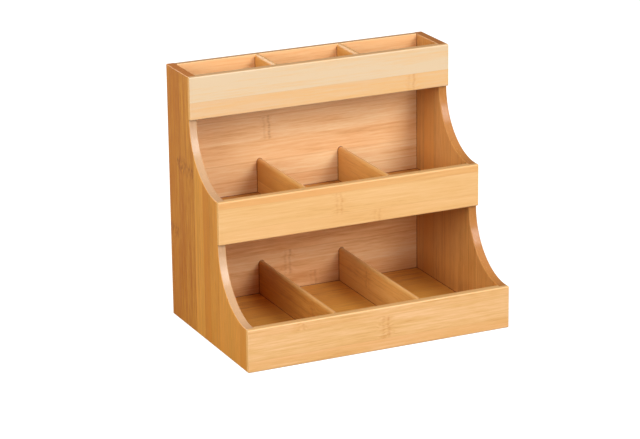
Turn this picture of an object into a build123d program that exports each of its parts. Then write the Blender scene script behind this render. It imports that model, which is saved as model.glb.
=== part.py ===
from build123d import *

import os

# A three-tier bamboo counter caddy with nine open compartments, in millimetres.
# +Z is up and the front faces -Y. The origin is the middle of the footprint, on the surface below.

tier_names = ["bottom", "middle", "top"]
divider_names = ["left", "right"]

# The stepped form
overall_width = 260.0
tier_rise = 100.0
tier_step = 60.0
top_tier_depth = 55.0

# The front rails, whose lips lap over the front edges of the side panels
rail_height = 40.0
rail_thickness = 8.0
rail_lip = 4.0
rail_edge_radius = 1.2
rail_end_radius = 0.8

# The side panels
side_thickness = 8.0
side_edge_radius = 0.8

# The back panel, let into rebates that stop short of the top
back_thickness = 5.5
back_rebate = 3.0
back_rebate_stop = 8.0
back_edge_radius = 0.8

# The floors, housed in the side panels and raised off the surface below
floor_thickness = 5.5
floor_housing = 3.0
floor_lift = 2.0

# The dividers, round-topped boards that stand in grooves in the floors
divider_thickness = 5.5
divider_groove = 1.5

# How far a cut runs past the face that it opens
overrun = 1.0

# Places and sizes that follow from those above
tier_count = len(tier_names)
divider_count = len(divider_names)
overall_height = (tier_count - 1) * tier_rise + rail_height
overall_depth = (tier_count - 1) * tier_step + top_tier_depth
cove_height = tier_rise - rail_height
inner_width = overall_width - 2 * side_thickness
column_width = (inner_width - divider_count * divider_thickness) / (divider_count + 1)
outer_x = overall_width / 2
inner_x = inner_width / 2
front_y = -overall_depth / 2
rear_y = overall_depth / 2
back_face_y = rear_y - back_thickness
quarter_turn = 90.0


def rail_front(tier):
    """Y of the front face of a tier's rail."""
    return front_y + tier * tier_step


def rail_rear(tier):
    """Y of the rear face of a tier's rail, where its floor and dividers start."""
    return rail_front(tier) + rail_thickness


def panel_front(tier):
    """Y of the side panels' front edges behind the lips of a tier's rail."""
    return rail_front(tier) + rail_lip


def rail_foot(tier):
    """Height of the lower edge of a tier's rail."""
    return tier * tier_rise


def rail_top(tier):
    """Height of the upper edge of a tier's rail."""
    return rail_foot(tier) + rail_height


def floor_underside(tier):
    """Height of the lower face of a tier's floor."""
    return rail_foot(tier) + floor_lift


def floor_top(tier):
    """Height of the upper face of a tier's floor."""
    return floor_underside(tier) + floor_thickness


def divider_x(divider):
    """X of the middle of a divider, counted from the left."""
    return -inner_x + (divider + 1) * column_width + (divider + 0.5) * divider_thickness


os.makedirs("parts", exist_ok=True)


# Side panels
# The front edge rises straight behind each rail, then sweeps back in a quarter-round cove to the next.
with BuildPart() as side_panel_left:
    with BuildSketch(Plane.YZ.offset(-outer_x)):
        with BuildLine():
            for tier in range(tier_count):
                Line((panel_front(tier), rail_foot(tier)), (panel_front(tier), rail_top(tier)))
            for tier in range(tier_count - 1):
                EllipticalCenterArc(
                    (panel_front(tier), rail_foot(tier + 1)),
                    tier_step,
                    cove_height,
                    start_angle=-quarter_turn,
                    arc_size=quarter_turn,
                )
            Polyline(
                (panel_front(tier_count - 1), overall_height),
                (rear_y, overall_height),
                (rear_y, 0),
                (panel_front(0), 0),
            )
        make_face()
    extrude(amount=side_thickness)
    broad_faces = side_panel_left.faces().filter_by(Axis.X)
    fillet(broad_faces.edges(), side_edge_radius)

    # Housings for the floors, from the rails' rear faces to the back panel
    with BuildSketch(Plane.YZ.offset(-inner_x)):
        for tier in range(tier_count):
            with Locations((rail_rear(tier), floor_underside(tier))):
                Rectangle(back_face_y - rail_rear(tier), floor_thickness, align=(Align.MIN, Align.MIN))
    extrude(amount=-floor_housing, mode=Mode.SUBTRACT)

    # Rebate for the back panel, open to the rear and at the foot
    with BuildSketch(Plane.YZ.offset(-inner_x)):
        with Locations((back_face_y, -overrun)):
            Rectangle(
                back_thickness + overrun,
                overrun + overall_height - back_rebate_stop,
                align=(Align.MIN, Align.MIN),
            )
    extrude(amount=-back_rebate, mode=Mode.SUBTRACT)

side_panel_left.part.label = "side_panel_left"
export_step(side_panel_left.part, "parts/side_panel_left.step")

with BuildPart() as side_panel_right:
    mirror(side_panel_left.part, about=Plane.YZ)

side_panel_right.part.label = "side_panel_right"
export_step(side_panel_right.part, "parts/side_panel_right.step")


# Back panel
# Its upper corners are notched round the stops of the rebates, which hides the rebates from above.
with BuildPart() as back_panel:
    with BuildSketch(Plane.XZ.offset(-rear_y)):
        Rectangle(inner_width, overall_height, align=(Align.CENTER, Align.MIN))
        Rectangle(
            inner_width + 2 * back_rebate,
            overall_height - back_rebate_stop,
            align=(Align.CENTER, Align.MIN),
        )
    extrude(amount=back_thickness)
    top_face = back_panel.faces().sort_by(Axis.Z)[-1]
    fillet(top_face.edges().filter_by(Axis.X), back_edge_radius)

back_panel.part.label = "back_panel"
export_step(back_panel.part, "parts/back_panel.step")


# Front rails
# A rebate at each end takes a side panel's front edge and leaves the lip that covers it.
for tier, tier_name in enumerate(tier_names):
    with BuildPart() as front_rail:
        with BuildSketch(Plane.YZ.offset(-outer_x)):
            with Locations((rail_front(tier), rail_foot(tier))):
                Rectangle(rail_thickness, rail_height, align=(Align.MIN, Align.MIN))
        extrude(amount=overall_width)
        long_edges = front_rail.edges().filter_by(Axis.X)
        fillet(long_edges, rail_edge_radius)
        end_faces = front_rail.faces().filter_by(Axis.X)
        fillet(end_faces.edges(), rail_end_radius)
        with BuildSketch(Plane.XY.offset(rail_foot(tier) - overrun)):
            with Locations((-inner_x, panel_front(tier))):
                Rectangle(
                    side_thickness + overrun,
                    rail_thickness - rail_lip + overrun,
                    align=(Align.MAX, Align.MIN),
                )
            mirror(about=Plane.YZ)
        extrude(amount=rail_height + 2 * overrun, mode=Mode.SUBTRACT)

    front_rail.part.label = f"front_rail_{tier_name}"
    export_step(front_rail.part, f"parts/front_rail_{tier_name}.step")


# Floors
for tier, tier_name in enumerate(tier_names):
    floor_depth = back_face_y - rail_rear(tier)
    with BuildPart() as floor:
        with BuildSketch(Plane.XY.offset(floor_underside(tier))):
            with Locations((0, rail_rear(tier))):
                Rectangle(inner_width + 2 * floor_housing, floor_depth, align=(Align.CENTER, Align.MIN))
        extrude(amount=floor_thickness)
        with BuildSketch(Plane.XY.offset(floor_top(tier))):
            for divider in range(divider_count):
                with Locations((divider_x(divider), rail_rear(tier))):
                    Rectangle(divider_thickness, floor_depth, align=(Align.CENTER, Align.MIN))
        extrude(amount=-divider_groove, mode=Mode.SUBTRACT)

    floor.part.label = f"floor_{tier_name}"
    export_step(floor.part, f"parts/floor_{tier_name}.step")


# Dividers
# Each runs from the back panel to a rail and ends level with the rail's top in a full-round edge.
for tier, tier_name in enumerate(tier_names):
    foot_z = floor_top(tier) - divider_groove
    shoulder_z = rail_top(tier) - divider_thickness / 2
    for divider_index, divider_name in enumerate(divider_names):
        middle_x = divider_x(divider_index)
        left_x = middle_x - divider_thickness / 2
        right_x = middle_x + divider_thickness / 2
        with BuildPart() as divider:
            with BuildSketch(Plane.XZ.offset(-back_face_y)):
                with BuildLine():
                    Polyline((left_x, shoulder_z), (left_x, foot_z), (right_x, foot_z), (right_x, shoulder_z))
                    ThreePointArc((right_x, shoulder_z), (middle_x, rail_top(tier)), (left_x, shoulder_z))
                make_face()
            extrude(amount=back_face_y - rail_rear(tier))

        divider.part.label = f"divider_{tier_name}_{divider_name}"
        export_step(divider.part, f"parts/divider_{tier_name}_{divider_name}.step")
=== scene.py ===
"""Looks for a three-tier coffee station organizer of lacquered bamboo boards.

Every board is a CAD node that keeps its mesh and gets a bamboo finish of its own. New meshes are the
thin beads of lacquer that have dried in the inside corners of the compartments; their dark colour
paints the shade in those corners. Everything stands in the frame of the CAD model. Lengths on the
boards, from strips to fibres, are in millimetres, and all others are in metres, the small ones
written as millimetres times MM.
"""

import logging
import math
from dataclasses import dataclass, field, replace
from enum import Enum
from typing import Sequence, Union

import bpy
import numpy as np
from bpy.types import Material, Node, NodeSocket, NodeTree, Object, World
from mathutils import Matrix, Vector


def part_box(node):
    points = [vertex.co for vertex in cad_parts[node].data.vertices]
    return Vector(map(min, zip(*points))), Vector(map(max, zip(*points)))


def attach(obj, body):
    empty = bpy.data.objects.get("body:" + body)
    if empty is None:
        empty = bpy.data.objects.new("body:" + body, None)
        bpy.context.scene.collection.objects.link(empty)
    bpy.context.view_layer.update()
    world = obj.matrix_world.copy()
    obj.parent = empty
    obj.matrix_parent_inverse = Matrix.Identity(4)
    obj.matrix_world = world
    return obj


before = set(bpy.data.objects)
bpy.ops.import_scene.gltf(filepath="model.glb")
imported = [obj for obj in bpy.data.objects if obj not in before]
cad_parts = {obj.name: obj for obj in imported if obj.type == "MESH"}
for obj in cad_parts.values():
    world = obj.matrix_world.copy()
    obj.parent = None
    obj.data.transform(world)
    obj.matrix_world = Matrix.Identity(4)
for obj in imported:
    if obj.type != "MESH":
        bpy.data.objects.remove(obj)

MM = 0.001
LOG = logging.getLogger("organizer")

# The body that everything rides on, and the trays from the lowest up, each 100 mm above the one below.
BODY = "root"
TRAYS = ("bottom", "middle", "top")
TRAY_RISE = 100.0

# How far from the origin a culm's node can lie along the grain, in mm, and the code that a strip with
# a node stays above.
NODE_REACH = 250.0
NO_NODE = 0.01

# The range that a noise texture hardly leaves, and the one in which it mostly stays.
WHOLE_NOISE = (0.25, 0.75)
MIDDLE_NOISE = (0.3, 0.7)

# The inputs of a Mix node of colours go by number, because their names repeat for each kind of data.
SHARE, UNDER, OVER = 0, 6, 7

# The camera's sensor is 36 mm wide, and its focal length was found in pixels of a picture 640 wide.
SENSOR = 36.0
PICTURE = 640

Feed = Union[NodeSocket, Node, float, Sequence[float]]
Pair = tuple[float, float]
Colour = tuple[float, float, float, float]
Surface = tuple[np.ndarray, np.ndarray]

BLACK: Colour = (0.0, 0.0, 0.0, 1.0)
WHITE: Colour = (1.0, 1.0, 1.0, 1.0)


def linear(hex_colour: str) -> Colour:
    """Turns an sRGB hex colour into linear light.

    Args:
        hex_colour: six hex digits after a hash.

    Returns:
        Red, green and blue from 0 to 1, linear, and full opacity.
    """
    parts = (int(hex_colour[place:place + 2], 16) / 255 for place in (1, 3, 5))
    red, green, blue = (
        part / 12.92 if part <= 0.04045 else ((part + 0.055) / 1.055) ** 2.4 for part in parts
    )
    return red, green, blue, 1.0


def repeats(length: float, width: float) -> tuple[float, float, float]:
    """Turns a pattern's length and width into how often it repeats along, across and through a board."""
    return 1 / length, 1 / width, 1 / width


def bare_tree(owner: Union[Material, World]) -> NodeTree:
    """Empties the node tree of a material or a world.

    Args:
        owner: the material or the world.

    Returns:
        Its tree, with no node left.
    """
    owner.use_nodes = True
    owner.node_tree.nodes.clear()
    return owner.node_tree


def wire(
    tree: NodeTree,
    kind: str,
    feeds: Union[Sequence[Feed], dict[Union[int, str], Feed]] = (),
    operation: str = "",
    stops: Sequence[tuple[float, Colour]] = (),
    **settings: Union[str, bool],
) -> Node:
    """Adds a node with its settings and its links.

    Args:
        tree: the node tree that gets the node.
        kind: the node's type, without the ShaderNode that it starts with.
        feeds: what goes into the inputs, in order, or by name or number. A node stands for its first
            live output. A Map Range takes the value, the range it comes from and the one it goes to.
        operation: what a Math or a VectorMath node does.
        stops: places and linear colours of a colour ramp, in rising order.
        **settings: the node's other properties. A ramp's interpolation goes to the ramp.

    Returns:
        The new node.
    """
    node = tree.nodes.new("ShaderNode" + kind)
    if operation:
        node.operation = operation
    for name, value in settings.items():
        setattr(node.color_ramp if stops else node, name, value)
    for number, (place, colour) in enumerate(stops):
        elements = node.color_ramp.elements
        element = elements[number] if number < len(elements) else elements.new(place)
        element.position = place
        element.color = colour
    for name, feed in feeds.items() if isinstance(feeds, dict) else enumerate(feeds):
        if isinstance(feed, Node):
            feed = next(output for output in feed.outputs if output.enabled)
        if isinstance(feed, NodeSocket):
            tree.links.new(feed, node.inputs[name])
        else:
            node.inputs[name].default_value = feed
    return node


def weave(net: np.ndarray, closed_rows: bool, closed_columns: bool) -> Surface:
    """Joins a net of points into four-sided faces.

    Args:
        net: the points, in rows and columns.
        closed_rows, closed_columns: whether the last row, or column, is joined to the first.

    Returns:
        The points, one after another, and the faces.
    """
    rows, columns = net.shape[:2]
    row, column = np.meshgrid(
        np.arange(rows if closed_rows else rows - 1),
        np.arange(columns if closed_columns else columns - 1), indexing="ij",
    )
    here, after = row * columns, (row + 1) % rows * columns
    beside = (column + 1) % columns
    faces = np.stack([here + column, after + column, after + beside, here + beside], axis=-1)
    return net.reshape(-1, 3), faces.reshape(-1, 4)


def new_piece(name: str, surface: Surface, finish: Material) -> Object:
    """Puts a surface into a new mesh object at the origin.

    Args:
        name: the object's name.
        surface: its points, in metres, and the numbers of each face's points.
        finish: its material.

    Returns:
        The object.
    """
    points, faces = surface
    mesh = bpy.data.meshes.new(name)
    mesh.from_pydata(points.tolist(), [], faces.tolist())
    mesh.materials.append(finish)
    piece = bpy.data.objects.new(name, mesh)
    bpy.context.scene.collection.objects.link(piece)
    return piece


def face_outward(piece: Object) -> None:
    """Turns the faces of a piece outward.

    Args:
        piece: the piece.
    """
    bpy.context.view_layer.objects.active = piece
    bpy.ops.object.select_all(action="DESELECT")
    piece.select_set(True)
    bpy.ops.object.mode_set(mode="EDIT")
    bpy.ops.mesh.select_all(action="SELECT")
    bpy.ops.mesh.normals_make_consistent(inside=False)
    bpy.ops.object.mode_set(mode="OBJECT")


class Grain(Enum):
    """How a board's fibres run: the axes along them, across the board and through its thickness."""

    RAIL = ("X", "Z", "Y")
    FLOOR = ("X", "Y", "Z")
    DIVIDER = ("Y", "Z", "X")
    SIDE = ("Z", "Y", "X")

    def unit(self, place: int) -> tuple[float, float, float]:
        """Gives the unit vector of the axis at that place in the value."""
        x, y, z = (1.0 if self.value[place] == letter else 0.0 for letter in "XYZ")
        return x, y, z


class Sheen(Enum):
    """How glossy the lacquer has dried, as its roughness."""

    RUBBED = 0.34
    SATIN = 0.42
    DRY = 0.52


@dataclass(frozen=True)
class Strip:
    """One pressed strip of a board.

    Attributes:
        width: its width across the board, in mm.
        pale: how pale it is, from 0, the finish's deep colour, to 1, its pale one.
        warm: how far it turns to the finish's warm colour, from 0 to 1.
        node: where the culm's node crosses it, in mm along the grain from the origin, or None.
    """

    width: float
    pale: float
    warm: float
    node: Union[float, None] = None

    def code(self) -> Colour:
        """Packs the strip's looks into one colour.

        Returns:
            Its paleness, its warmth, its node's place from 0 to 1, with 0 for no node, and full opacity.
        """
        place = 0.0
        if self.node is not None:
            place = min(max((self.node + NODE_REACH) / (2 * NODE_REACH), 2 * NO_NODE), 1.0)
        return self.pale, self.warm, place, 1.0


@dataclass(frozen=True)
class Stack:
    """A stack of strips that nothing singles out.

    Attributes:
        width: the usual width of a strip in mm.
        pale, spread: the usual paleness, and how far it strays.
        between: the two places along the grain that nodes are strewn between, in mm.
        uneven: the least and the most of a strip's width, against the usual one.
        warmth: the usual warmth, and how far it strays.
        with_node: the share of the strips that have a node.
    """

    width: float
    pale: float
    spread: float
    between: Pair
    uneven: Pair = (0.8, 1.2)
    warmth: Pair = (0.3, 0.25)
    with_node: float = 0.5

    def take(self, span: float, seed: int) -> tuple[Strip, ...]:
        """Lays strips side by side, as a press takes them from the stack.

        Args:
            span: the board's width in mm.
            seed: the number that the choice starts from.

        Returns:
            The strips, in rising order across the board.
        """
        dice = np.random.default_rng(seed)
        count = max(1, round(span / self.width))
        shares = dice.uniform(*self.uneven, count)
        widths = shares / shares.sum() * span
        pales = np.clip(dice.normal(self.pale, self.spread, count), 0.0, 1.0)
        warms = np.clip(dice.normal(*self.warmth, count), 0.0, 1.0)
        nodes = dice.uniform(*self.between, count)
        shown = dice.uniform(0.0, 1.0, count) < self.with_node
        return tuple(
            Strip(float(width), float(pale), float(warm), float(node) if has_node else None)
            for width, pale, warm, node, has_node in zip(widths, pales, warms, nodes, shown)
        )


@dataclass(frozen=True)
class BambooFinish:
    """Pressed bamboo, sanded along the grain and sealed with a thin clear lacquer.

    It gives the eye broad strips of slightly different honey tones, long fine streaks, brushed marks
    where the culm's nodes were, redder and dotted ends, and a low silky shine.

    Attributes:
        name: what the material is called.
        pale, middle, deep: the wood's tones, as sRGB hex values.
        warm: the orange that warm strips turn to.
        knuckle: the brown of a node's mark.
        ring, dash: how strong a node's two lines are, and the short dashes about it.
        end: the colour of the sawn ends.
        edge: the colour of the narrow edges, partly their tone and partly painted light and shade, or
            nothing where they have the face's.
        polish: how much smoother than the faces those edges are, in roughness.
        cloud, streak, fibre: how strong the broad patches, long streaks and fine fibres are.
        run: how long the streaks are, in mm.
        seam: how dark the joint between two strips is.
        arris_wear_and_highlight: how much paler an eased edge is, partly wear and partly painted
            highlight.
        sheen: how glossy the lacquer is.
        specular: the strength of its reflection, against 0.5 for the plain one.
        coat: the weight of the clear lacquer over it.
        outer_tint_and_shade: the amber that multiplies the colour of the outer faces, partly tone and
            partly painted shade, or nothing.
        outer_beyond: how far from the middle plane a face has that tint, in mm.
    """

    name: str
    pale: str
    middle: str
    deep: str
    warm: str
    knuckle: str = "#9C5A24"
    ring: float = 0.4
    dash: float = 0.15
    end: str = "#B0713C"
    edge: str = ""
    polish: float = 0.0
    cloud: float = 0.35
    streak: float = 0.5
    fibre: float = 0.3
    run: float = 45.0
    seam: float = 0.35
    arris_wear_and_highlight: float = 0.25
    sheen: Sheen = Sheen.SATIN
    specular: float = 0.4
    coat: float = 0.15
    outer_tint_and_shade: str = ""
    outer_beyond: float = 0.0


@dataclass(frozen=True)
class Board:
    """One CAD board and the strips that it is pressed from.

    Attributes:
        node: the CAD node's name.
        grain: how its fibres run.
        start: where its first strip starts across it, in mm.
        strips, finish: its strips and its bamboo.
    """

    node: str
    grain: Grain
    start: float
    strips: tuple[Strip, ...]
    finish: BambooFinish

    def dress(self) -> None:
        """Gives the CAD node its finish through its material slot."""
        low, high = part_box(self.node)
        axis = "XYZ".index(self.grain.value[0])
        bamboo = BambooMaterial(self, (low[axis] / MM, high[axis] / MM))
        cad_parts[self.node].material_slots[0].material = bamboo.build()
        size = " x ".join(f"{side / MM:.1f}" for side in high - low)
        LOG.info("%s: %s mm, %d strips of %s", self.node, size, len(self.strips), self.finish.name)


@dataclass(frozen=True)
class Figure:
    """The figure that all bamboo has, with sizes in mm and a length before a width.

    Attributes:
        joint: half the width of the line between two strips.
        wave, sway: how often a node's lines wave, per millimetre on each axis, and how far.
        line: how far each of a node's two lines lies from its middle.
        line_fade, node_fade: how far off a line, and a whole node, starts to fade, and is gone.
        weak_line: how strong one of the two lines is, against the other.
        swirl: how far the fibres are swept aside at a node.
        culms: what a strip's code is multiplied by, to give it a culm of its own.
        streak, cloud: the width of a streak, and a broad soft patch.
        fibre: a fibre. Real ones are 0.2 mm wide, too fine to show, and are drawn four times as wide.
        warmth: how much of a strip's warmth there is in the coolest patch, and in the warmest.
        dash, dash_noise: a short dash about a node, and the noise at which it starts, and is whole.
        facing: how squarely a surface faces along the grain where it starts to look sawn, and is.
        sawn: how deep the sawn end reaches.
        bundles: how many cut fibre bundles there are on a millimetre of it.
        dot, dot_dark: from where to where a bundle fades, and how dark the end is there.
        edge_turn: how much a surface faces through the board where an edge starts, and is whole.
        end_cover, edge_cover: how much of the wood the colour of an end or an edge covers.
        outer_fade: over what depth the second coat sets in.
        proud: how far the fibres stand out under the lacquer.
        gloss: how much smoother and rougher the lacquer is than its sheen.
        dull_end: how much rougher it is on a sawn end.
    """

    joint: float = 0.25
    wave: tuple[float, float, float] = (0.03, 0.11, 0.11)
    sway: float = 6.0
    line: float = 2.4
    line_fade: Pair = (0.2, 2.0)
    node_fade: Pair = (2.0, 10.0)
    weak_line: float = 0.5
    swirl: float = 12.0
    culms: tuple[float, float, float] = (97.0, 53.0, 31.0)
    streak: float = 2.0
    cloud: Pair = (120.0, 14.0)
    fibre: Pair = (11.0, 0.8)
    warmth: Pair = (0.5, 1.5)
    dash: Pair = (6.0, 1.6)
    dash_noise: Pair = (0.4, 0.65)
    facing: Pair = (0.6, 0.95)
    sawn: float = 0.4
    bundles: float = 1.1
    dot: Pair = (0.15, 0.5)
    dot_dark: Pair = (0.72, 1.0)
    edge_turn: Pair = (0.5, 0.1)
    end_cover: float = 0.85
    edge_cover: float = 0.8
    # outer_fade: over what depth the outer tint sets in.
    outer_fade: float = 0.6
    proud: float = 0.05
    gloss: Pair = (-0.05, 0.07)
    dull_end: float = 0.4


@dataclass
class BambooMaterial:
    """The bamboo of one board in the making, layer by layer.

    Attributes:
        board: the board, with its finish.
        ends: where it was sawn off along the grain, in mm.
        figure: the sizes of the wood's figure.
        tree, normal: the material's node tree, and where the surface faces.
        axes: the place along the grain, across it and through the board, in mm.
        lay, swept: that place as one vector, and the same with the swirl about the nodes.
        code, coded: a strip's looks as one colour, and as its three parts.
        seam, near, ring: the joints between strips, how near a node is, and its two lines.
        streak, fibre, cloud: the noise of each.
        turn: how squarely the surface faces through the board.
        sawn, painted_edge: how much of a sawn end, or of an edge with its colour and painted light and
            shade, there is.
        wood: the colour so far.
    """

    board: Board
    ends: Pair
    figure: Figure = Figure()
    tree: NodeTree = field(init=False)
    normal: Feed = field(init=False)
    axes: Sequence[Feed] = field(init=False)
    lay: Feed = field(init=False)
    swept: Feed = field(init=False)
    code: Feed = field(init=False)
    coded: Sequence[Feed] = field(init=False)
    seam: Feed = field(init=False)
    near: Feed = field(init=False)
    ring: Feed = field(init=False)
    streak: Feed = field(init=False)
    fibre: Feed = field(init=False)
    cloud: Feed = field(init=False)
    turn: Feed = field(init=False)
    sawn: Feed = field(init=False)
    painted_edge: Feed = field(init=False)
    wood: Feed = field(init=False)

    def build(self) -> Material:
        """Makes the material: the figure first, then the colour on it, and the lacquer over both.

        Returns:
            The material.
        """
        label = self.board.node.replace("_", " ")
        material = bpy.data.materials.new(f"{self.board.finish.name}, {label}")
        self.tree = bare_tree(material)
        for layer in (
            self.lay_out, self.press_strips, self.grow_nodes, self.grow_fibres, self.colour_wood,
            self.mark_nodes, self.saw_ends, self.colour_edges_with_light, self.tint_and_shade_outer_faces, self.pale_edges_wear_and_highlight,
            self.lacquer,
        ):
            layer()
        return material

    def cover(self, share: Feed, over: Feed, **settings: str) -> None:
        """Lays a colour over the wood, or blends it in as the settings say."""
        feeds = {SHARE: share, UNDER: self.wood, OVER: over}
        self.wood = wire(self.tree, "Mix", feeds, data_type="RGBA", **settings)

    def lay_out(self) -> None:
        """Turns the place on the board into millimetres along the grain, across it and through it."""
        place = wire(self.tree, "TexCoord")
        size = [1 / MM] * 3
        sized = wire(self.tree, "Mapping", {"Vector": place.outputs["Object"], "Scale": size})
        split = wire(self.tree, "SeparateXYZ", [sized])
        self.normal = place.outputs["Normal"]
        self.axes = [split.outputs[letter] for letter in self.board.grain.value]
        self.lay = wire(self.tree, "CombineXYZ", self.axes)

    def press_strips(self) -> None:
        """Lays a stepped ramp across the board for the strips' codes, and another for their joints."""
        start, strips = self.board.start, self.board.strips
        span = sum(strip.width for strip in strips)
        edges = (np.cumsum([0.0, *(strip.width for strip in strips)]) / span).tolist()
        share = wire(self.tree, "MapRange", [self.axes[1], start, start + span])
        codes = [(edge, strip.code()) for edge, strip in zip(edges, strips)]
        codes.append((1.0, codes[-1][1]))
        self.code = wire(self.tree, "ValToRGB", [share], stops=codes, interpolation="CONSTANT")
        self.coded = wire(self.tree, "SeparateColor", [self.code]).outputs
        hair = self.figure.joint / span
        lines = [(0.0, BLACK)]
        for edge in edges[1:-1]:
            lines += [(edge - hair, WHITE), (edge + hair, BLACK)]
        lines.append((1.0, BLACK))
        self.seam = wire(self.tree, "ValToRGB", [share], stops=lines, interpolation="CONSTANT")

    def grow_nodes(self) -> None:
        """Draws each node as two soft lines that wave across the strip, and fibres that swirl there."""
        tree, figure = self.tree, self.figure
        place = self.coded[2]
        target = wire(tree, "MapRange", [place, 0.0, 1.0, -NODE_REACH, NODE_REACH], clamp=False)
        wave = wire(tree, "VectorMath", [self.lay, figure.wave], "MULTIPLY")
        wobble = wire(tree, "TexNoise", {"Vector": wave, "Scale": 1.0, "Detail": 1.5})
        away = wire(tree, "Math", [self.axes[0], target], "SUBTRACT")
        bent = wire(tree, "Math", [wobble, figure.sway, away], "MULTIPLY_ADD")
        bent = wire(tree, "Math", [bent, figure.sway / 2], "SUBTRACT")
        gap = wire(tree, "Math", [bent], "ABSOLUTE")
        present = wire(tree, "Math", [place, NO_NODE], "GREATER_THAN")
        near = wire(tree, "MapRange", [gap, *figure.node_fade, 1.0, 0.0], interpolation_type="SMOOTHSTEP")
        self.near = wire(tree, "Math", [near, present], "MULTIPLY")
        off = wire(tree, "Math", [gap, figure.line], "SUBTRACT")
        off = wire(tree, "Math", [off], "ABSOLUTE")
        fade = [off, *figure.line_fade, self.board.finish.ring, 0.0]
        ring = wire(tree, "MapRange", fade, interpolation_type="SMOOTHSTEP")
        lean = wire(tree, "MapRange", [bent, -1.0, 1.0, figure.weak_line, 1.0])
        self.ring = wire(tree, "Math", [ring, lean], "MULTIPLY")
        shift = wire(tree, "Math", [wobble, 0.5], "SUBTRACT")
        shift = wire(tree, "Math", [shift, self.near], "MULTIPLY")
        shift = wire(tree, "Math", [shift, figure.swirl], "MULTIPLY")
        swirl = wire(tree, "CombineXYZ", [0.0, shift, shift])
        self.swept = wire(tree, "VectorMath", [self.lay, swirl], "ADD")

    def grow_fibres(self) -> None:
        """Draws the noise of streaks, fibres and broad patches, each strip from a culm of its own."""
        culm = wire(self.tree, "VectorMath", [self.code, self.figure.culms], "MULTIPLY")
        patterns = []
        for ground, size, detail, roughness in (
            (self.swept, (self.board.finish.run, self.figure.streak), 3.0, 0.6),
            (self.swept, self.figure.fibre, 2.0, 0.55),
            (self.lay, self.figure.cloud, 1.0, 0.5),
        ):
            moved = wire(self.tree, "VectorMath", [ground, repeats(*size), culm], "MULTIPLY_ADD")
            noise = {"Vector": moved, "Scale": 1.0, "Detail": detail, "Roughness": roughness}
            patterns.append(wire(self.tree, "TexNoise", noise))
        self.streak, self.fibre, self.cloud = patterns

    def colour_wood(self) -> None:
        """Takes the strip's own tone, moved a little by patch, streak and fibre, and its warmth."""
        tree, finish = self.tree, self.board.finish
        tone = self.coded[0]
        swings = (self.cloud, finish.cloud), (self.streak, finish.streak), (self.fibre, finish.fibre)
        for pattern, weight in swings:
            swing = wire(tree, "MapRange", [pattern, *WHOLE_NOISE, -weight / 2, weight / 2])
            tone = wire(tree, "Math", [tone, swing], "ADD")
        tones = [(0.0, linear(finish.deep)), (0.5, linear(finish.middle)), (1.0, linear(finish.pale))]
        self.wood = wire(tree, "ValToRGB", [tone], stops=tones)
        warmth = wire(tree, "MapRange", [self.cloud, *MIDDLE_NOISE, *self.figure.warmth])
        warmth = wire(tree, "Math", [warmth, self.coded[1]], "MULTIPLY")
        self.cover(warmth, linear(finish.warm))

    def mark_nodes(self) -> None:
        """Darkens the wood along the nodes' lines, in short dashes about them, and on the joints."""
        tree, finish, figure = self.tree, self.board.finish, self.figure
        moved = wire(tree, "VectorMath", [self.swept, repeats(*figure.dash)], "MULTIPLY")
        dash = wire(tree, "TexNoise", {"Vector": moved, "Scale": 1.0, "Detail": 1.0})
        dash = wire(tree, "MapRange", [dash, *figure.dash_noise], interpolation_type="SMOOTHSTEP")
        broken = wire(tree, "Math", [dash, 0.5, 0.5], "MULTIPLY_ADD")
        mark = wire(tree, "Math", [self.ring, broken], "MULTIPLY")
        mark = wire(tree, "Math", [dash, finish.dash, mark], "MULTIPLY_ADD")
        mark = wire(tree, "Math", [mark, self.near], "MULTIPLY")
        self.cover(mark, linear(finish.knuckle))
        joint = wire(tree, "Math", [self.seam, finish.seam], "MULTIPLY")
        self.cover(joint, linear(finish.deep))

    def saw_ends(self) -> None:
        """Gives the sawn ends their colour and the dots of the cut fibre bundles.

        An end is where the surface faces along the grain, no deeper than the saw reached.
        """
        tree, figure = self.tree, self.figure
        facing = wire(tree, "VectorMath", [self.normal, self.board.grain.unit(0)], "DOT_PRODUCT")
        facing = wire(tree, "Math", [facing], "ABSOLUTE")
        sawn = wire(tree, "MapRange", [facing, *figure.facing], interpolation_type="SMOOTHSTEP")
        low, high = self.ends
        out = wire(tree, "Math", [self.axes[0], (low + high) / 2], "SUBTRACT")
        out = wire(tree, "Math", [out], "ABSOLUTE")
        last = wire(tree, "Math", [out, (high - low) / 2 - figure.sawn], "GREATER_THAN")
        self.sawn = wire(tree, "Math", [sawn, last], "MULTIPLY")
        dots = wire(tree, "TexVoronoi", {"Vector": self.lay, "Scale": figure.bundles})
        dots = wire(tree, "MapRange", [dots, *figure.dot, *figure.dot_dark])
        feeds = {SHARE: 1.0, UNDER: linear(self.board.finish.end), OVER: dots}
        cut = wire(tree, "Mix", feeds, data_type="RGBA", blend_type="MULTIPLY")
        share = wire(tree, "Math", [self.sawn, figure.end_cover], "MULTIPLY")
        self.cover(share, cut)

    def colour_edges_with_light(self) -> None:
        """Gives the narrow edges their colour, partly tone and partly painted light and shade, where the
        finish has one for them.

        An edge is where the surface looks neither way through the board, apart from the sawn ends.
        """
        tree, figure, edge = self.tree, self.figure, self.board.finish.edge
        turn = wire(tree, "VectorMath", [self.normal, self.board.grain.unit(2)], "DOT_PRODUCT")
        self.turn = wire(tree, "Math", [turn, turn], "MULTIPLY")
        # The edge colour is partly the edges' tone and partly painted light and shade, such as darker rail
        # tops and pale divider tops.
        if edge:
            painted_edge = wire(tree, "MapRange", [self.turn, *figure.edge_turn, 0.0, figure.edge_cover])
            kept = wire(tree, "Math", [1.0, self.sawn], "SUBTRACT")
            self.painted_edge = wire(tree, "Math", [painted_edge, kept], "MULTIPLY")
            self.cover(self.painted_edge, linear(edge))

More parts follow.
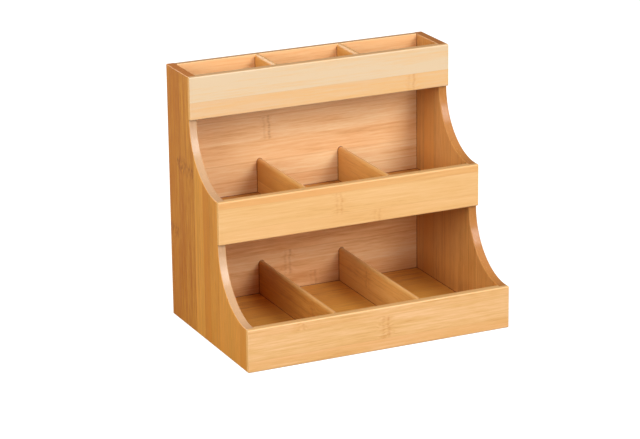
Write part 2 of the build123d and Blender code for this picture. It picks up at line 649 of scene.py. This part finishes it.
    def tint_and_shade_outer_faces(self) -> None:
        """Multiplies the faces that look outward by their tint, partly tone and partly painted shade,
        where the finish has one.
        """
        finish = self.board.finish
        # The tint darkens and saturates the outer faces, partly tone and partly painted shade.
        if finish.outer_tint_and_shade:
            beyond = finish.outer_beyond
            side = wire(self.tree, "Math", [self.axes[2]], "ABSOLUTE")
            outer = wire(self.tree, "MapRange", [side, beyond, beyond + self.figure.outer_fade])
            self.cover(outer, linear(finish.outer_tint_and_shade), blend_type="MULTIPLY")

    def pale_edges_wear_and_highlight(self) -> None:
        """Makes the wood paler where sanding has rounded it between face and edge, partly wear and partly
        a painted highlight.
        """
        finish = self.board.finish
        # The paler eased edges are partly wear and partly a painted highlight.
        rest = wire(self.tree, "Math", [1.0, self.turn], "SUBTRACT")
        eased = wire(self.tree, "Math", [self.turn, rest], "MULTIPLY")
        eased = wire(self.tree, "Math", [eased, 4 * finish.arris_wear_and_highlight], "MULTIPLY")
        self.cover(eased, linear(finish.pale))

    def lacquer(self) -> None:
        """Puts the lacquer over the wood, with the fibres proud under it and the joints sunk."""
        tree, finish, figure = self.tree, self.board.finish, self.figure
        height = wire(tree, "Math", [self.streak, 0.5, self.fibre], "MULTIPLY_ADD")
        height = wire(tree, "Math", [height, self.seam], "SUBTRACT")
        relief = wire(tree, "Bump", {"Strength": 0.35, "Distance": figure.proud * MM, "Height": height})
        gloss = [finish.sheen.value + change for change in figure.gloss]
        rough = wire(tree, "MapRange", [self.streak, *MIDDLE_NOISE, *gloss])
        rough = wire(tree, "Math", [self.sawn, figure.dull_end, rough], "MULTIPLY_ADD")
        if finish.edge:
            rough = wire(tree, "Math", [self.painted_edge, -finish.polish, rough], "MULTIPLY_ADD")
        surface = wire(tree, "BsdfPrincipled", {
            "Base Color": self.wood, "Roughness": rough, "IOR": 1.5, "Normal": relief,
            "Specular IOR Level": finish.specular, "Coat Weight": finish.coat, "Coat Roughness": 0.28,
        })
        wire(tree, "OutputMaterial", {"Surface": surface})


# The top rail is the palest board, cut from the outer wall of the culm: cream to light honey.
# The rails' edge colours are darker than their faces, which paints the shade on their top faces.
RAIL_FINISH = BambooFinish(
    "flat-pressed bamboo, satin lacquer",
    pale="#DABF9B", middle="#E0AF70", deep="#C48848", warm="#DE9C58", knuckle="#C98440",
    ring=0.38, dash=0.1, end="#E2A85C", edge="#C9955B", streak=0.34, run=60.0, fibre=0.18, seam=0.2,
)
# The two rails below are more golden, and the lowest was cut nearer the core and shows its streaks more.
MIDDLE_RAIL_FINISH = replace(
    RAIL_FINISH, pale="#EABF87", edge="#D2A66C", streak=0.5, fibre=0.24, dash=0.16
)
LOW_RAIL_FINISH = replace(MIDDLE_RAIL_FINISH, pale="#F0C493", streak=0.7, fibre=0.33, dash=0.28)
# The side panels have stood longest in the steam, and an amber tint darkens their outer faces, partly tone
# and partly painted shade on the left panel's outer face.
SIDE_FINISH = BambooFinish(
    "steamed bamboo, rubbed lacquer", pale="#ECB171", middle="#D6A15B", deep="#BA7518", warm="#D89646",
    knuckle="#8E4E16", ring=0.2, dash=0.6, end="#AF6420", edge="#BC9879", polish=0.15,
    streak=0.85, run=110.0, fibre=0.5, sheen=Sheen.RUBBED, specular=0.3, coat=0.0,
    outer_tint_and_shade="#EFD787", outer_beyond=129.3,
)
# The right panel has darker tones and darker edges, partly its tone and partly painted shade on its inner
# face and cove, and a lighter outer tint.
RIGHT_SHADED_FINISH = replace(
    SIDE_FINISH, pale="#CA9150", middle="#BA8145", deep="#986425", warm="#C27E34", end="#A26023",
    edge="#AF7138", streak=0.95, run=160.0, outer_tint_and_shade="#FFEEC4",
)
# The back is a thin, rosier board with level grain in broad soft patches.
BACK_FINISH = BambooFinish(
    "level-pressed bamboo, thin lacquer",
    pale="#F0CF9F", middle="#E6B580", deep="#CB8A4C", warm="#E6A462", knuckle="#B4703E",
    ring=0.42, dash=0.1, end="#B87C4A", edge="#A87A48", cloud=0.55, streak=0.6, fibre=0.3, sheen=Sheen.DRY,
)
# The tray floors are darker inner wood, never in the sun, and the middle one is darker still, which paints
# the shade in the back corner where its strip shows.
FLOOR_FINISH = BambooFinish(
    "pressed bamboo, dry lacquer", pale="#EFBB61", middle="#EBB051", deep="#B8742D", warm="#DF9D42",
    knuckle="#7E4316", ring=0.3, dash=0.3, end="#A86A38", streak=0.65, fibre=0.38, sheen=Sheen.DRY,
)
# The middle floor's darker tones paint the shade in the back corner.
SHADED_MIDDLE_FLOOR_FINISH = replace(
    FLOOR_FINISH, pale="#CB9245", middle="#C78939", deep="#9C5A1E", warm="#BD7A2E"
)
# The dividers are thin sawn slats, each with a rounded top whose pale edge colour and paler eased edges
# paint the highlight on it.
DIVIDER_FINISH = BambooFinish(
    "sawn bamboo slat, satin lacquer", pale="#DEAB67", middle="#D3994F", deep="#9F6425", warm="#C18336",
    knuckle="#9A5A26", ring=0.3, dash=0.22, end="#B07240", edge="#E0AC70",
    streak=0.45, run=60.0, fibre=0.36, arris_wear_and_highlight=0.4,
)


@dataclass
class FrontRails:
    """The three rails that close the trays at the front.

    Attributes:
        finishes: the rails' finishes, from the foot upward.
        strips: the strips of each rail, in the same order.
    """

    finishes: tuple[BambooFinish, ...] = (LOW_RAIL_FINISH, MIDDLE_RAIL_FINISH, RAIL_FINISH)
    strips: tuple[tuple[Strip, ...], ...] = (
        (Strip(10.5, 0.56, 0.3), Strip(21.5, 0.68, 0.15, 5.0), Strip(8.0, 0.64, 0.25, -79.0)),
        (Strip(12.0, 0.66, 0.15, 26.0), Strip(21.0, 0.68, 0.1, -12.0), Strip(7.0, 0.56, 0.45)),
        (Strip(16.0, 0.76, 0.2, 92.0), Strip(24.0, 0.97, 0.0)),
    )

    def dress(self) -> None:
        """Dresses the rails."""
        for number, (tray, strips, finish) in enumerate(zip(TRAYS, self.strips, self.finishes)):
            Board(f"front_rail_{tray}", Grain.RAIL, number * TRAY_RISE, strips, finish).dress()


@dataclass
class SidePanels:
    """The two stepped side panels, with upright strips.

    Attributes:
        depth: the depth of a panel in mm.
        left: the left panel's strips, from the front rearward.
        stack: what the right panel's strips are taken from.
        seed: the number that their choice starts from.
    """

    depth: float = 175.0
    left: tuple[Strip, ...] = (
        Strip(17.0, 0.6, 0.45), Strip(14.0, 0.74, 0.2), Strip(13.0, 0.8, 0.15), Strip(19.0, 0.76, 0.2),
        Strip(19.0, 0.58, 0.25), Strip(14.0, 0.4, 0.8), Strip(20.0, 0.68, 0.0),
        Strip(18.0, 0.34, 0.1, 151.0), Strip(21.0, 0.2, 0.1, 153.0), Strip(20.0, 0.1, 0.25, 86.0),
    )
    stack: Stack = Stack(17.5, 0.6, 0.06, (20.0, 80.0))
    seed: int = 12

    def dress(self) -> None:
        """Dresses both panels."""
        start = -self.depth / 2
        right = self.stack.take(self.depth, self.seed)
        Board("side_panel_left", Grain.SIDE, start, self.left, SIDE_FINISH).dress()
        Board("side_panel_right", Grain.SIDE, start, right, RIGHT_SHADED_FINISH).dress()


@dataclass
class BackPanel:
    """The back panel, with level strips.

    Attributes:
        foot: where its lowest strip starts, in mm.
        strips: its strips, from the foot upward.
    """

    foot: float = 0.0
    strips: tuple[Strip, ...] = (
        Strip(22.0, 0.46, 0.2, 12.0), Strip(24.0, 0.53, 0.1, -15.0), Strip(20.0, 0.4, 0.25),
        Strip(20.0, 0.43, 0.2), Strip(21.0, 0.55, 0.1), Strip(13.0, 0.64, 0.0),
        Strip(17.0, 0.7, 0.05), Strip(20.0, 0.62, 0.2), Strip(23.0, 0.66, 0.05, -34.0),
        Strip(20.0, 0.55, 0.1), Strip(20.0, 0.7, 0.35, 60.0), Strip(20.0, 0.66, 0.4),
    )

    def dress(self) -> None:
        """Dresses the panel."""
        Board("back_panel", Grain.RAIL, self.foot, self.strips, BACK_FINISH).dress()


@dataclass
class TrayFloors:
    """The floors of the three trays.

    Attributes:
        depth: how far their strips reach, front to back, in mm.
        stack: what those are taken from.
        seed: the number that the lowest floor's choice starts from, and each floor above counts on.
        finishes: the floors' finishes, from the lowest up.
    """

    depth: float = 170.0
    stack: Stack = Stack(20.0, 0.5, 0.12, (-110.0, 110.0))
    seed: int = 3
    finishes: tuple[BambooFinish, ...] = (FLOOR_FINISH, SHADED_MIDDLE_FLOOR_FINISH, FLOOR_FINISH)

    def dress(self) -> None:
        """Dresses the floors, each with strips of its own."""
        for seed, (tray, finish) in enumerate(zip(TRAYS, self.finishes), start=self.seed):
            strips = self.stack.take(self.depth, seed)
            Board(f"floor_{tray}", Grain.FLOOR, -self.depth / 2, strips, finish).dress()


@dataclass
class TrayDividers:
    """The six dividers, two in each tray.

    Attributes:
        height: how far their strips reach upward in mm.
        stack: what those are taken from, apart from their paleness.
        pales: how pale each divider is, from the lowest tray up and from left to right. The bottom-left
            one and the two in the top tray are darker, which paints the shade they stand in.
        seed: the number that the first one's choice starts from, and each one after it counts on.
    """

    height: float = 40.0
    stack: Stack = Stack(20.0, 0.5, 0.08, (-60.0, 60.0))
    # The low values for the bottom-left and the top dividers paint the shade on them.
    pales: tuple[float, ...] = (0.26, 0.5, 0.48, 0.48, 0.3, 0.42)
    seed: int = 31

    def dress(self) -> None:
        """Dresses the dividers, each with strips of its own."""
        names = [f"divider_{tray}_{side}" for tray in TRAYS for side in ("left", "right")]
        for count, (name, pale) in enumerate(zip(names, self.pales)):
            strips = replace(self.stack, pale=pale).take(self.height, self.seed + count)
            Board(name, Grain.DIVIDER, count // 2 * TRAY_RISE, strips, DIVIDER_FINISH).dress()


# The beads' dark lacquer paints the shade in the inside corners and round the dividers' tops.
@dataclass(frozen=True)
class CornerShadeLacquer:
    """Lacquer that has run into an inside corner, a little glossier than the boards, coloured dark to
    paint the shade there.

    It gives the eye the thin dark line where two boards meet, as painted shade.

    Attributes:
        name: what the material is called.
        dark, light: its two painted-shade colours, which the noise of its runs blends, as sRGB hex values.
        between: the noise at which it is dark, and at which it is light.
        roughness: how rough it is.
        run, proud: how long its runs are, and how far they stand out.
    """

    name: str = "dried amber lacquer, pooled_painted_shade"
    dark: str = "#7A431C"
    light: str = "#A0602C"
    between: Pair = (0.35, 0.65)
    roughness: float = 0.3
    run: float = 6 * MM
    proud: float = 0.05 * MM

    def material(self) -> Material:
        """Makes the material.

        Returns:
            The material.
        """
        material = bpy.data.materials.new(self.name)
        tree = bare_tree(material)
        place = wire(tree, "TexCoord").outputs["Object"]
        runs = wire(tree, "TexNoise", {"Vector": place, "Scale": 1 / self.run, "Detail": 2.0})
        tones = list(zip(self.between, (linear(self.dark), linear(self.light))))
        colour = wire(tree, "ValToRGB", [runs], stops=tones)
        relief = wire(tree, "Bump", {"Strength": 0.2, "Distance": self.proud, "Height": runs})
        surface = wire(tree, "BsdfPrincipled", {
            "Base Color": colour, "Roughness": self.roughness, "IOR": 1.5, "Normal": relief,
        })
        wire(tree, "OutputMaterial", {"Surface": surface})
        return material


@dataclass
class CornerShadeBeads:
    """The beads of lacquer in the inside corners of the compartments, whose dark colour paints the shade
    there.

    Attributes:
        radius: how far a bead reaches from the corner.
        sunk: how deep its hidden legs lie in the boards.
        steps, arch_steps: how many segments its hollow face has, and its way over a divider's top.
        rise, step: how far each rail stands above the one below, and behind it.
        lift, floor: how high a floor's underside and its top lie above its rail's foot.
        rail: the height of a rail.
        first, rear: where the lowest rail's rear face and the back panel's front face are.
        inner: half the width between the side panels.
        slat, thick: where a divider's middle is, left and right of the middle, and its thickness.
        short: how far below a rail's top a bead beside it ends.
    """

    radius: float = 0.45 * MM
    sunk: float = 0.15 * MM
    steps: int = 5
    arch_steps: int = 16
    rise: float = TRAY_RISE * MM
    step: float = 60 * MM
    lift: float = 2 * MM
    floor: float = 7.5 * MM
    rail: float = 40 * MM
    first: float = -79.5 * MM
    rear: float = 82 * MM
    inner: float = 122 * MM
    slat: float = 41.583 * MM
    thick: float = 5.5 * MM
    short: float = 1 * MM

    def profile(self) -> np.ndarray:
        """Gives the bead's outline, as distances from the two boards.

        The hollow face is a quarter circle of the bead's radius, centred a radius away from both boards,
        and the outline closes behind it inside the boards.

        Returns:
            An array of points, each with its distance from the first board and from the second.
        """
        turn = np.linspace(0.0, math.pi / 2, self.steps + 1)
        hollow = np.stack([self.radius * (1 - np.sin(turn)), self.radius * (1 - np.cos(turn))], axis=1)
        legs = np.array([[-self.sunk, self.radius], [-self.sunk, -self.sunk], [self.radius, -self.sunk]])
        return np.concatenate([hollow, legs])

    def ring(self, left: float, right: float, front: float, rear: float, height: float) -> Surface:
        """Works out the bead round a compartment's floor.

        The outline runs round the rectangle of the floor. A point at a distance a from the wall lies on
        the rectangle made smaller by a on every side, so the four corners are mitred.

        Args:
            left, right: the compartment's walls, along x.
            front, rear: its walls, along y.
            height: the top of its floor.

        Returns:
            The points and the faces.
        """
        inward, up = self.profile().T
        corners = np.array([[left, front], [right, front], [right, rear], [left, rear]])
        signs = np.array([[1, 1], [-1, 1], [-1, -1], [1, -1]])
        flat = corners[:, None, :] + signs[:, None, :] * inward[None, :, None]
        level = np.broadcast_to(height + up, flat.shape[:2])
        return weave(np.concatenate([flat, level[..., None]], axis=2), True, True)

    def post(self, x: float, y: float, toward: tuple[int, int], low: float, high: float) -> Surface:
        """Works out an upright bead.

        The outline is carried straight up from the low end to the high one.

        Args:
            x, y: the corner that it fills.
            toward: the signs of x and y on its open side.
            low, high: its ends.

        Returns:
            The points and the faces, without its ends, which are sunk in a board or too small to see.
        """
        outline = np.array([x, y]) + np.array(toward) * self.profile()
        rows = [np.column_stack([outline, np.full(len(outline), end)]) for end in (low, high)]
        return weave(np.stack(rows), False, True)

    def arch(self, x: float, top: float) -> Surface:
        """Works out the bead over a divider's rounded top, where that meets the back panel and the bead
        paints the contact shade.

        The outline goes round half a circle. A point at a distance a from the slat lies half the slat's
        thickness and a away from the centre of the rounding, and a point at a distance b from the back
        panel lies b in front of it.

        Args:
            x: the middle of the divider.
            top: the height of its top.

        Returns:
            The points and the faces, without its ends, which stand on the upright beads.
        """
        off, ahead = self.profile().T
        turn = np.linspace(-math.pi / 2, math.pi / 2, self.arch_steps + 1)[:, None]
        reach = self.thick / 2 + off
        up = top - self.thick / 2 + reach * np.cos(turn)
        level = np.broadcast_to(self.rear - ahead, up.shape)
        return weave(np.stack([x + reach * np.sin(turn), level, up], axis=-1), False, True)

    def tray_parts(self, number: int, tray: str) -> list[Surface]:
        """Works out all beads of one tray: over its dividers, round its floors and up its corners.

        Args:
            number: how many trays are below it.
            tray: its name.

        Returns:
            The points and the faces of each bead.
        """
        half = self.thick / 2
        walls = [
            -self.inner, -self.slat - half, -self.slat + half,
            self.slat - half, self.slat + half, self.inner,
        ]
        base, front = number * self.rise, self.first + number * self.step
        rail_top, slat_top = base + self.rail, base + self.rail - half
        floor = base + self.floor
        wall_top = base + (self.rail if tray == "top" else self.rise + self.lift)
        parts = [self.arch(x, rail_top) for x in (-self.slat, self.slat) if tray != "top"]
        for left, right in zip(walls[0::2], walls[1::2]):
            parts.append(self.ring(left, right, front, self.rear, floor))
            for x, toward in ((left, 1), (right, -1)):
                outer = abs(x) == self.inner
                rear_end, front_end = (wall_top, rail_top - self.short) if outer else (slat_top, slat_top)
                parts.append(self.post(x, self.rear, (toward, -1), floor, rear_end))
                parts.append(self.post(x, front, (toward, 1), floor, front_end))
        return parts

    def build(self) -> list[Object]:
        """Makes one piece of beads for each tray.

        Returns:
            The pieces, from the bottom tray upward.
        """
        pieces = []
        finish = CornerShadeLacquer().material()
        for number, tray in enumerate(TRAYS):
            parts = self.tray_parts(number, tray)
            offsets = np.cumsum([0, *(len(points) for points, _ in parts)])[:-1]
            points = np.concatenate([points for points, _ in parts])
            faces = np.concatenate([faces + offset for (_, faces), offset in zip(parts, offsets)])
            pieces.append(new_piece(f"corner_shade_beads_{tray}", (points, faces), finish))
            face_outward(pieces[-1])
            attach(pieces[-1], BODY)
            LOG.info("%s: %d faces", pieces[-1].name, len(faces))
        return pieces


def outward(azimuth: float, elevation: float) -> Vector:
    """Gives the direction from the middle toward a lamp or the camera.

    Args:
        azimuth: how far it stands to the right of straight in front, in degrees.
        elevation: how far above the middle it stands, in degrees.

    Returns:
        The direction, with a length of one.
    """
    turn, lift = math.radians(azimuth), math.radians(elevation)
    return Vector((math.sin(turn) * math.cos(lift), -math.cos(turn) * math.cos(lift), math.sin(lift)))


@dataclass(frozen=True)
class Lamp:
    """A square softbox that looks at the middle of the organizer.

    Attributes:
        name: the lamp's name.
        azimuth, elevation: its direction in degrees, as outward takes it.
        distance, size: how far away it is, and its side, in metres.
        power: its power in watts.
    """

    name: str
    azimuth: float
    elevation: float
    distance: float
    size: float
    power: float

    def light(self, middle: Vector) -> None:
        """Adds the lamp, turned to the middle.

        Args:
            middle: where that is.
        """
        back = outward(self.azimuth, self.elevation)
        data = bpy.data.lights.new(self.name, "AREA")
        data.shape = "SQUARE"
        data.size = self.size
        data.energy = self.power
        lamp = bpy.data.objects.new(self.name, data)
        lamp.location = middle + back * self.distance
        lamp.rotation_euler = back.to_track_quat("Z", "Y").to_euler()
        bpy.context.scene.collection.objects.link(lamp)


@dataclass
class Studio:
    """The white studio: floor, lamps, surrounding light and camera.

    Attributes:
        middle: the height of the organizer's middle, in metres.
        lamps: the softboxes.
        ambient: the strength of the light that comes from all around.
        glow: how bright the floor's own white is, where the camera sees it.
        mirrored: how much of the white a reflection or a look through glass shows.
        paper: the floor's colour under the lamps, in sRGB hex.
        half, cells: half the side of the square floor, and how many cells it has along a side.
        below: how far under the organizer it lies.
        azimuth, elevation, roll: the camera's direction in degrees.
        distance: from the camera to the middle.
        aside, above: how far the middle lies right of and above the camera's axis.
        focal: the focal length in mm.
        far: how far the camera sees.
    """

    middle: float = 120 * MM
    lamps: tuple[Lamp, ...] = (
        Lamp("key softbox", 25.5, 30.5, 2.0, 0.85, 24.5),
        Lamp("front softbox", 10.0, 12.0, 2.0, 0.8, 10.5),
        Lamp("left softbox", -65.0, 26.0, 2.2, 1.8, 49.0),
        Lamp("right softbox", 75.0, 34.0, 2.2, 2.4, 16.0),
        Lamp("rear softbox", 200.0, 24.0, 2.0, 1.6, 24.0),
    )
    ambient: float = 0.055
    glow: float = 0.95
    mirrored: float = 0.1
    paper: str = "#848482"
    half: float = 2.0
    cells: int = 8
    below: float = 0.2 * MM
    azimuth: float = -24.868
    elevation: float = 17.954
    roll: float = -0.687
    distance: float = 2526.58 * MM
    aside: float = 16.627 * MM
    above: float = 21.066 * MM
    focal: float = 2775.04 / PICTURE * SENSOR
    far: float = 20.0

    def seen_directly(self, tree: NodeTree) -> Node:
        """Adds the share of plain white that a ray shows.

        Args:
            tree: the node tree that gets it.

        Returns:
            The node with the share: all of it for the camera, less in a reflection or through glass, and
            nothing for the light on the organizer.
        """
        rays = wire(tree, "LightPath").outputs
        through = wire(tree, "Math", [rays["Is Glossy Ray"], rays["Is Transmission Ray"]], "MAXIMUM")
        through = wire(tree, "Math", [through, self.mirrored], "MULTIPLY")
        return wire(tree, "Math", [rays["Is Camera Ray"], through], "MAXIMUM")

    def paper_material(self) -> Material:
        """Makes the floor's matt paper, with the white that is added where it is seen.

        Returns:
            The material.
        """
        material = bpy.data.materials.new("matt white studio paper")
        tree = bare_tree(material)
        paper = wire(tree, "BsdfDiffuse", {"Color": linear(self.paper), "Roughness": 1.0})
        share = wire(tree, "Math", [self.seen_directly(tree), self.glow], "MULTIPLY")
        white = wire(tree, "Emission", {"Color": WHITE, "Strength": share})
        look = wire(tree, "AddShader", [paper, white])
        wire(tree, "OutputMaterial", {"Surface": look})
        return material

    def build_floor(self) -> None:
        """Lays the square floor: x and y run evenly over a grid, and z stays just under zero."""
        steps = np.linspace(-self.half, self.half, self.cells + 1)
        x, y = np.meshgrid(steps, steps, indexing="ij")
        net = np.stack([x, y, np.full_like(x, -self.below)], axis=-1)
        floor = new_piece("studio_floor", weave(net, False, False), self.paper_material())

    def build_world(self) -> None:
        """Makes the surrounding light, which is plain white where it is seen directly."""
        world = bpy.data.worlds.new("white studio")
        bpy.context.scene.world = world
        tree = bare_tree(world)
        around = wire(tree, "Background", {"Color": WHITE, "Strength": self.ambient})
        white = wire(tree, "Background", {"Color": WHITE, "Strength": 1.0})
        look = wire(tree, "MixShader", [self.seen_directly(tree), around, white])
        wire(tree, "OutputWorld", {"Surface": look})

    def build_camera(self) -> None:
        """Places the camera so that the middle falls where the two offsets say.

        Its back direction comes from azimuth and elevation, and the roll turns right and up about it.
        """
        back = outward(self.azimuth, self.elevation)
        roll = math.radians(self.roll)
        right = (-back).cross(Vector((0.0, 0.0, 1.0))).normalized()
        up = right.cross(-back)
        level, tilt = math.cos(roll), math.sin(roll)
        right, up = level * right + tilt * up, level * up - tilt * right
        middle = Vector((0.0, 0.0, self.middle))
        eye = middle - self.aside * right - self.above * up + self.distance * back
        data = bpy.data.cameras.new("studio camera")
        data.lens = self.focal
        data.sensor_width = SENSOR
        data.sensor_fit = "HORIZONTAL"
        data.clip_end = self.far
        camera = bpy.data.objects.new("studio camera", data)
        turned = Matrix((right, up, back)).transposed().to_4x4()
        camera.matrix_world = Matrix.Translation(eye) @ turned
        bpy.context.scene.collection.objects.link(camera)
        bpy.context.scene.camera = camera

    def build(self) -> None:
        """Builds the whole studio."""
        self.build_camera()
        self.build_world()
        self.build_floor()
        for lamp in self.lamps:
            lamp.light(Vector((0.0, 0.0, self.middle)))
        bpy.context.scene.view_settings.view_transform = "Standard"
        LOG.info("studio: %d lamps, ambient %.2f", len(self.lamps), self.ambient)


def main() -> None:
    """Dresses every board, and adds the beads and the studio."""
    logging.basicConfig(level=logging.INFO, format="%(message)s")
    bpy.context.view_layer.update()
    SidePanels().dress()
    BackPanel().dress()
    TrayFloors().dress()
    FrontRails().dress()
    TrayDividers().dress()
    CornerShadeBeads().build()
    Studio().build()


if __name__ == "__main__":
    main()
